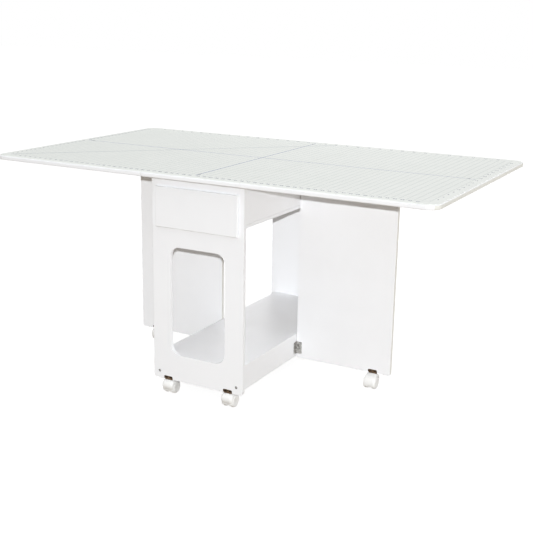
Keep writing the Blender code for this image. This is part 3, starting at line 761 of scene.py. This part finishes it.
buttHinge = {
    "width": 0.021, "thick": 0.0015, "knuckle": 0.0030, "knuckles": 5, "room": 0.0004, "bore": 0.0016,
    "corner": 0.0030, "cornerSteps": 6, "edge": 0.0003, "steps": 32,
    "pinRadius": 0.0013, "pinHead": 0.0025, "pinHeadThick": 0.0010, "pinRoom": 0.0003, "pinEase": 0.0004,
    "screws": 3, "screwSpan": 0.034, "screwAt": 0.0128,
    "screwRadius": 0.0030, "screwRise": 0.00025, "screwSunk": 0.0012, "screwTurn": 0.7,
}


def hingeHalf(length, owned):        # axis on z, plate out along +x at y = -knuckle
    radius, thick, count = buttHinge["knuckle"], buttHinge["thick"], buttHinge["knuckles"]
    steps, eased = buttHinge["steps"], buttHinge["edge"]
    near = radius + buttHinge["room"]
    plate = boxBm((near, -radius, -length / 2), (buttHinge["width"], thick - radius, length / 2))
    far = [e for e in edgesAlong(plate, 1) if min(v.co.x for v in e.verts) > near + tiny]
    roundEdges(plate, far, buttHinge["corner"], buttHinge["cornerSteps"])
    tools = []
    for index in owned:
        low, high = length * (index / count - 0.5), length * ((index + 1) / count - 0.5)
        low += buttHinge["room"] / 2 if index > 0 else 0
        high -= buttHinge["room"] / 2 if index < count - 1 else 0
        tools.append(("UNION", boxBm((0, -radius, low), (near + thick, thick - radius, high))))
        profile = [(0, high), (radius - eased, high), (radius, high - eased),
                   (radius, low + eased), (radius - eased, low), (0, low)]
        tools.append(("UNION", spinBm(profile, steps)))
    tools.append(("DIFFERENCE", rodBm(buttHinge["bore"], length, -length, steps)))
    return carved(plate, tools)


def hingeScrews():        # heads on the open face of one hinge half
    face = buttHinge["thick"] - buttHinge["knuckle"]
    heights = evenSteps(buttHinge["screws"], buttHinge["screwSpan"])
    return screwRow(buttHinge, [(buttHinge["screwAt"], face, z) for z in heights], -zAxis)


def pinBm(length):
    radius, head, eased = buttHinge["pinRadius"], buttHinge["pinHead"], buttHinge["pinEase"]
    seat = length / 2 + buttHinge["pinRoom"]
    crest = seat + buttHinge["pinHeadThick"]
    profile = [(0, crest), (head - eased, crest), (head, crest - eased), (head, seat), (radius, seat)]
    profile += [(radius, -length / 2 + eased), (radius - eased, -length / 2), (0, -length / 2)]
    return spinBm(profile, buttHinge["steps"])


def hingePieces(side, sign, level):
    stem = f"{side}_{level}_hinge"
    low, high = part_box(f"{stem}_plate")
    length = high.z - low.z
    place = (*jointAt[f"{side}_gate_swing"][:2], (low.z + high.z) / 2)
    plateTo, flapTo = turnTo(-yAxis, sign * xAxis, place), turnTo(sign * xAxis, -yAxis, place)
    halves = (("plate", "cabinet", plateTo, 0), ("flap", f"{side}_gate", flapTo, 1))
    for half, body, matrix, first in halves:        # the halves own every second knuckle
        bm = moved(hingeHalf(length, range(first, buttHinge["knuckles"], 2)), matrix)
        addMetal(f"{stem}_{half}_leaf", bm, [zincAndReflections], body, [f"{stem}_{half}"])
        addMetal(f"{stem}_{half}_screws", moved(hingeScrews(), matrix), screwFinishes, body)
    bm = moved(pinBm(length), Matrix.Translation(place))
    addMetal(f"{stem}_round_pin", bm, [zincAndReflections], "cabinet", [f"{stem}_pin"])


for side, sign in sides.items():
    for level in ("lower", "upper"):
        hingePieces(side, sign, level)
print("butt hinges done")


# screws of the long hinges under the top

for side, sign in sides.items():
    plateLow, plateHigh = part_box(f"{side}_leaf_hinge_plate")
    hingeX = jointAt[f"{side}_leaf_lift"][0]
    span = plateHigh.y - plateLow.y - 2 * longHinge["screwInset"]
    for half, body, reach in (("plate", "cabinet", -sign), ("flap", f"{side}_leaf", sign)):
        x = hingeX + reach * longHinge["screwAt"]
        places = [(x, y, plateLow.z) for y in evenSteps(longHinge["screws"], span)]
        heads = screwRow(longHinge, places, -yAxis)
        addMetal(f"{side}_leaf_hinge_{half}_screws", heads, screwFinishes, body)
print("long hinge screws done")


# casters: hooded twin wheels on steel stems

caster = {
    "trail": 0.016, "room": 0.0008, "gap": 0.0003, "steps": 56, "roundSteps": 8, "smooth": 40,
    "wheelWidth": 0.0185, "wheelRound": 0.0085, "innerRound": 0.006, "innerSteps": 3, "axle": 0.0025,
    "hub": 0.0150, "hubDish": 0.0012,
    "hubCurve": ((0.0, 1.0), (0.5, 0.9), (0.85, 0.5), (1.0, 0.2), (1.15, 0.0)),        # shares of hub, dish
    "hoodRadius": 0.0283, "hoodRound": 0.010, "hoodBottom": 0.0125, "pocket": 0.0258, "rim": 0.0016,
    "web": 0.0135, "webBottom": 0.0180,
    "crownRadius": 0.0212, "crownHalf": 0.0245, "crownRound": 0.0105, "crownAt": (0.0030, 0.0358),
    "boss": 0.0078, "bossRise": 0.0010, "bossRound": 0.0005, "bossSteps": 4, "bossDepth": 0.0060,
    "stem": 0.0040, "collar": 0.0055, "stemEase": 0.0005, "stemSteps": 32,
    "seat": (0.0172, 0.0050, 0.0065), "seatCorner": 0.0015, "seatSteps": 4,
}


def cutBelow(bm, low):        # cuts a shape off flat below a height and closes it
    bmesh.ops.bisect_plane(
        bm, geom=bm.verts[:] + bm.edges[:] + bm.faces[:], dist=weld,
        plane_co=(0, 0, low), plane_no=(0, 0, 1), clear_inner=True,
    )
    bmesh.ops.holes_fill(bm, edges=[e for e in bm.edges if e.is_boundary], sides=0)
    return bm


def hoodBm(axleZ, bossTop, stemLow):        # swivel axis on z, wheels trailing along +y
    steps, roundSteps, webHalf = caster["steps"], caster["roundSteps"], caster["web"] / 2
    half = webHalf + caster["room"] + caster["wheelWidth"]
    axleAt = turnTo(yAxis, zAxis, (0, caster["trail"], axleZ))

    radius, pocket, rounding = caster["hoodRadius"], caster["pocket"], caster["hoodRound"]
    rimAt = pocket + caster["rim"] / 2
    start = math.degrees(math.asin((rimAt - radius + rounding) / rounding))
    bend = arc((half - rounding, radius - rounding), rounding, start, 90, roundSteps)
    profile = [(pocket, bend[0][0] - caster["rim"] / 2)] + [(r, z) for z, r in bend]
    profile += [(r, -z) for r, z in reversed(profile)]
    shell = cutBelow(moved(spinBm(profile, steps, closed=True), axleAt), caster["hoodBottom"])
    web = cutBelow(moved(rodBm(rimAt, webHalf, -webHalf, steps), axleAt), caster["webBottom"])

    radius, crownHalf, rounding = caster["crownRadius"], caster["crownHalf"], caster["crownRound"]
    bend = arc((crownHalf - rounding, radius - rounding), rounding, 0, 90, roundSteps)
    profile = [(0, crownHalf)] + [(r, z) for z, r in bend]
    profile += [(r, -z) for r, z in reversed(profile)]
    crown = moved(spinBm(profile, steps), turnTo(yAxis, zAxis, (0, *caster["crownAt"])))
    crown = cutBelow(crown, caster["webBottom"])

    boss, eased, neckLow = caster["boss"], caster["bossRound"], bossTop - caster["bossDepth"]
    profile = [(0, bossTop), *arc((boss - eased, bossTop - eased), eased, 90, 0, caster["bossSteps"])]
    profile += [(boss, neckLow), (0, neckLow)]
    tools = [("UNION", crown), ("UNION", spinBm(profile, steps))]        # the neck goes on before the rooms
    for sign in (-1, 1):        # room for the wheels
        room = rodBm(pocket, sign * webHalf, sign * 2 * half, steps)
        tools.append(("DIFFERENCE", moved(room, axleAt)))
    bore = rodBm(caster["stem"] + caster["gap"], 2 * bossTop, stemLow - caster["gap"], caster["stemSteps"])
    return carved(shell, tools + [("UNION", web), ("DIFFERENCE", bore)])


def wheelsBm(radius):        # both wheels and their axle about z
    near = caster["web"] / 2 + caster["room"] / 2
    far = near + caster["wheelWidth"]
    rounding, inner = caster["wheelRound"], caster["innerRound"]
    profile = [(caster["hub"] * out, far - caster["hubDish"] * deep) for out, deep in caster["hubCurve"]]
    profile += arc((radius - rounding, far - rounding), rounding, 90, 0, caster["roundSteps"])
    profile += arc((radius - inner, near + inner), inner, 0, -90, caster["innerSteps"])
    profile.append((caster["axle"], near))
    profile += [(r, -z) for r, z in reversed(profile)]
    return spinBm(profile, caster["steps"])


def stemBm(low, high, bossTop, ceiling):        # steel pin from inside the hood up into the board; its dark bronze is partly painted shade in the notch
    pin, collar, eased = caster["stem"], caster["collar"], caster["stemEase"]
    foot = bossTop + caster["gap"]
    profile = [(0, high), (pin - eased, high), (pin, high - eased), (pin, ceiling), (collar - eased, ceiling)]
    profile += [(collar, ceiling - eased), (collar, foot + eased), (collar - eased, foot)]
    profile += [(pin, foot), (pin, low + eased), (pin - eased, low), (0, low)]
    halfX, halfY, tall = caster["seat"]        # dark plate that fills the notch round the pin: a bronzed mount, darkened as painted shade
    corners = (-halfX, -halfY, foot), (halfX, halfY, foot + tall)
    plate = slabBm(*corners, 2, caster["seatCorner"], caster["seatSteps"])
    return carved(spinBm(profile, caster["stemSteps"]), [("UNION", plate)])


def casterPieces(spot):
    carrier = "cabinet" if spot.startswith(("front", "rear")) else spot
    hood, wheels, stem = (f"{spot}_caster_{part}" for part in ("hood", "wheels", "stem"))
    rollAt = jointAt[f"{spot}_caster_roll"]
    x, y, axleZ = stemX[spot], stemY[spot], rollAt[2]
    trail = math.copysign(1, rollAt[1] - y)        # which way the wheels trail
    low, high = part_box(stem)
    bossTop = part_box(hood)[1].z + caster["bossRise"]
    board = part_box(spot if carrier == spot else f"{spot.split('_')[0]}_panel")
    ceiling = board[0].z + panel["notchHeight"] - caster["gap"]

    bm = moved(hoodBm(axleZ, bossTop, low.z), turnTo(trail * xAxis, trail * yAxis, (x, y, 0)))
    addPiece(f"{spot}_caster_cover", bm, [nylon], hood, [hood], caster["smooth"])
    bm = moved(wheelsBm(axleZ), turnTo(yAxis, zAxis, rollAt))
    addPiece(f"{spot}_caster_twin_wheels", bm, [nylon], wheels, [wheels], caster["smooth"])
    bm = moved(stemBm(low.z, high.z, bossTop, ceiling), Matrix.Translation((x, y, 0)))
    addPiece(f"{spot}_caster_pin", bm, [bronzeAndShade], carrier, [stem], caster["smooth"])


for spot in stemX:
    casterPieces(spot)
print("casters done")


# camera, floor and light

photoView = {"lens": 65.34, "place": (1.8378, -3.3249, 1.4506), "yaw": 28.56, "pitch": 15.25, "roll": 0.97}
floorLook = {"size": 40.0, "drop": 0.0003, "bounce": (0.34, 0.285, 0.22), "shade": 0.25, "glow": 0.88}
skyLook = {"low": 0.09, "high": 1.11}
flash = {
    "power": 7.05, "size": 0.03, "tint": (0.965, 0.985, 1.0), "evenReach": True,
    "aboveLens": 0.095, "aim": (0.0, 0.0, 0.5),
}
backFill = {"power": 30.0, "size": 2.4, "place": (-1.0, 3.6, 2.0), "aim": (0.0, 0.2, 0.5)}
sideFill = {"power": 12.0, "size": 0.6, "place": (3.2, 0.15, 0.60), "aim": (0.2, -0.2, 0.60)}


def addCamera():
    data = bpy.data.cameras.new("photo_camera")
    data.lens = photoView["lens"]
    camera = bpy.data.objects.new("photo_camera", data)
    yaw, pitch, roll = (math.radians(photoView[key]) for key in ("yaw", "pitch", "roll"))
    turn = Matrix.Rotation(yaw, 4, "Z") @ Matrix.Rotation(math.pi / 2 - pitch, 4, "X")
    camera.matrix_world = Matrix.Translation(photoView["place"]) @ turn @ Matrix.Rotation(roll, 4, "Z")
    scene.collection.objects.link(camera)
    scene.camera = camera


def addLamp(name, settings, place):
    data = bpy.data.lights.new(name, "AREA")
    data.energy, data.size, data.shape = settings["power"], settings["size"], "DISK"
    data.color = settings.get("tint", (1, 1, 1))
    if settings.get("evenReach"):        # as strong at the back of the object as at the front
        data.use_nodes = True
        falloff = addNode(data.node_tree, "LightFalloff", {"Strength": 1.0}).outputs["Constant"]
        data.node_tree.links.new(falloff, data.node_tree.nodes["Emission"].inputs["Strength"])
    lamp = bpy.data.objects.new(name, data)
    lamp.location = place
    lamp.rotation_euler = (Vector(settings["aim"]) - Vector(place)).to_track_quat("-Z", "Y").to_euler()
    scene.collection.objects.link(lamp)


def seenDirectly(tree):        # 1 for what the camera, gloss or glass sees
    path = addNode(tree, "LightPath", {}).outputs
    return anyOf(tree, path["Is Camera Ray"], path["Is Glossy Ray"], path["Is Transmission Ray"])


def addFloor():
    bm = bmesh.new()
    bmesh.ops.create_grid(bm, x_segments=2, y_segments=2, size=floorLook["size"] / 2)
    bmesh.ops.translate(bm, verts=bm.verts, vec=(0, 0, -floorLook["drop"]))
    finish = bpy.data.materials.new("pale_floor")
    finish.use_nodes = True
    tree = finish.node_tree
    bounce = addNode(tree, "BsdfDiffuse", {"Color": (*floorLook["bounce"], 1)})
    shade = addNode(tree, "BsdfDiffuse", {"Color": (*[floorLook["shade"]] * 3, 1)})
    glow = addNode(tree, "Emission", {"Color": (1, 1, 1, 1), "Strength": floorLook["glow"]})
    shown = addNode(tree, "AddShader", {0: shade.outputs[0], 1: glow.outputs[0]})
    both = addNode(tree, "MixShader", {0: seenDirectly(tree), 1: bounce.outputs[0], 2: shown.outputs[0]})
    tree.links.new(both.outputs[0], tree.nodes["Material Output"].inputs["Surface"])
    floor = bpy.data.objects.new("pale_floor", asMesh(bm, "pale_floor", [finish]))
    scene.collection.objects.link(floor)


def addSky():        # soft light, brighter overhead, with plain white behind the object
    world = bpy.data.worlds.new("studio")
    world.use_nodes = True
    scene.world = world
    tree = world.node_tree
    up = addNode(tree, "TexCoord", {}).outputs["Generated"]
    height = addNode(tree, "SeparateXYZ", {"Vector": up}).outputs["Z"]
    settings = {"Value": height, "To Min": skyLook["low"], "To Max": skyLook["high"]}
    level = addNode(tree, "MapRange", settings).outputs["Result"]
    soft = addNode(tree, "Background", {"Color": (1, 1, 1, 1), "Strength": level})
    white = addNode(tree, "Background", {"Color": (1, 1, 1, 1), "Strength": 1.0})
    both = addNode(tree, "MixShader", {0: seenDirectly(tree), 1: soft.outputs[0], 2: white.outputs[0]})
    tree.links.new(both.outputs[0], tree.nodes["World Output"].inputs["Surface"])


addCamera()
addFloor()
addSky()
addLamp("flash", flash, Vector(photoView["place"]) + Vector((0, 0, flash["aboveLens"])))
addLamp("back_fill", backFill, backFill["place"])
addLamp("side_fill", sideFill, sideFill["place"])
scene.view_settings.view_transform = "Standard"
print("camera, floor and light set")
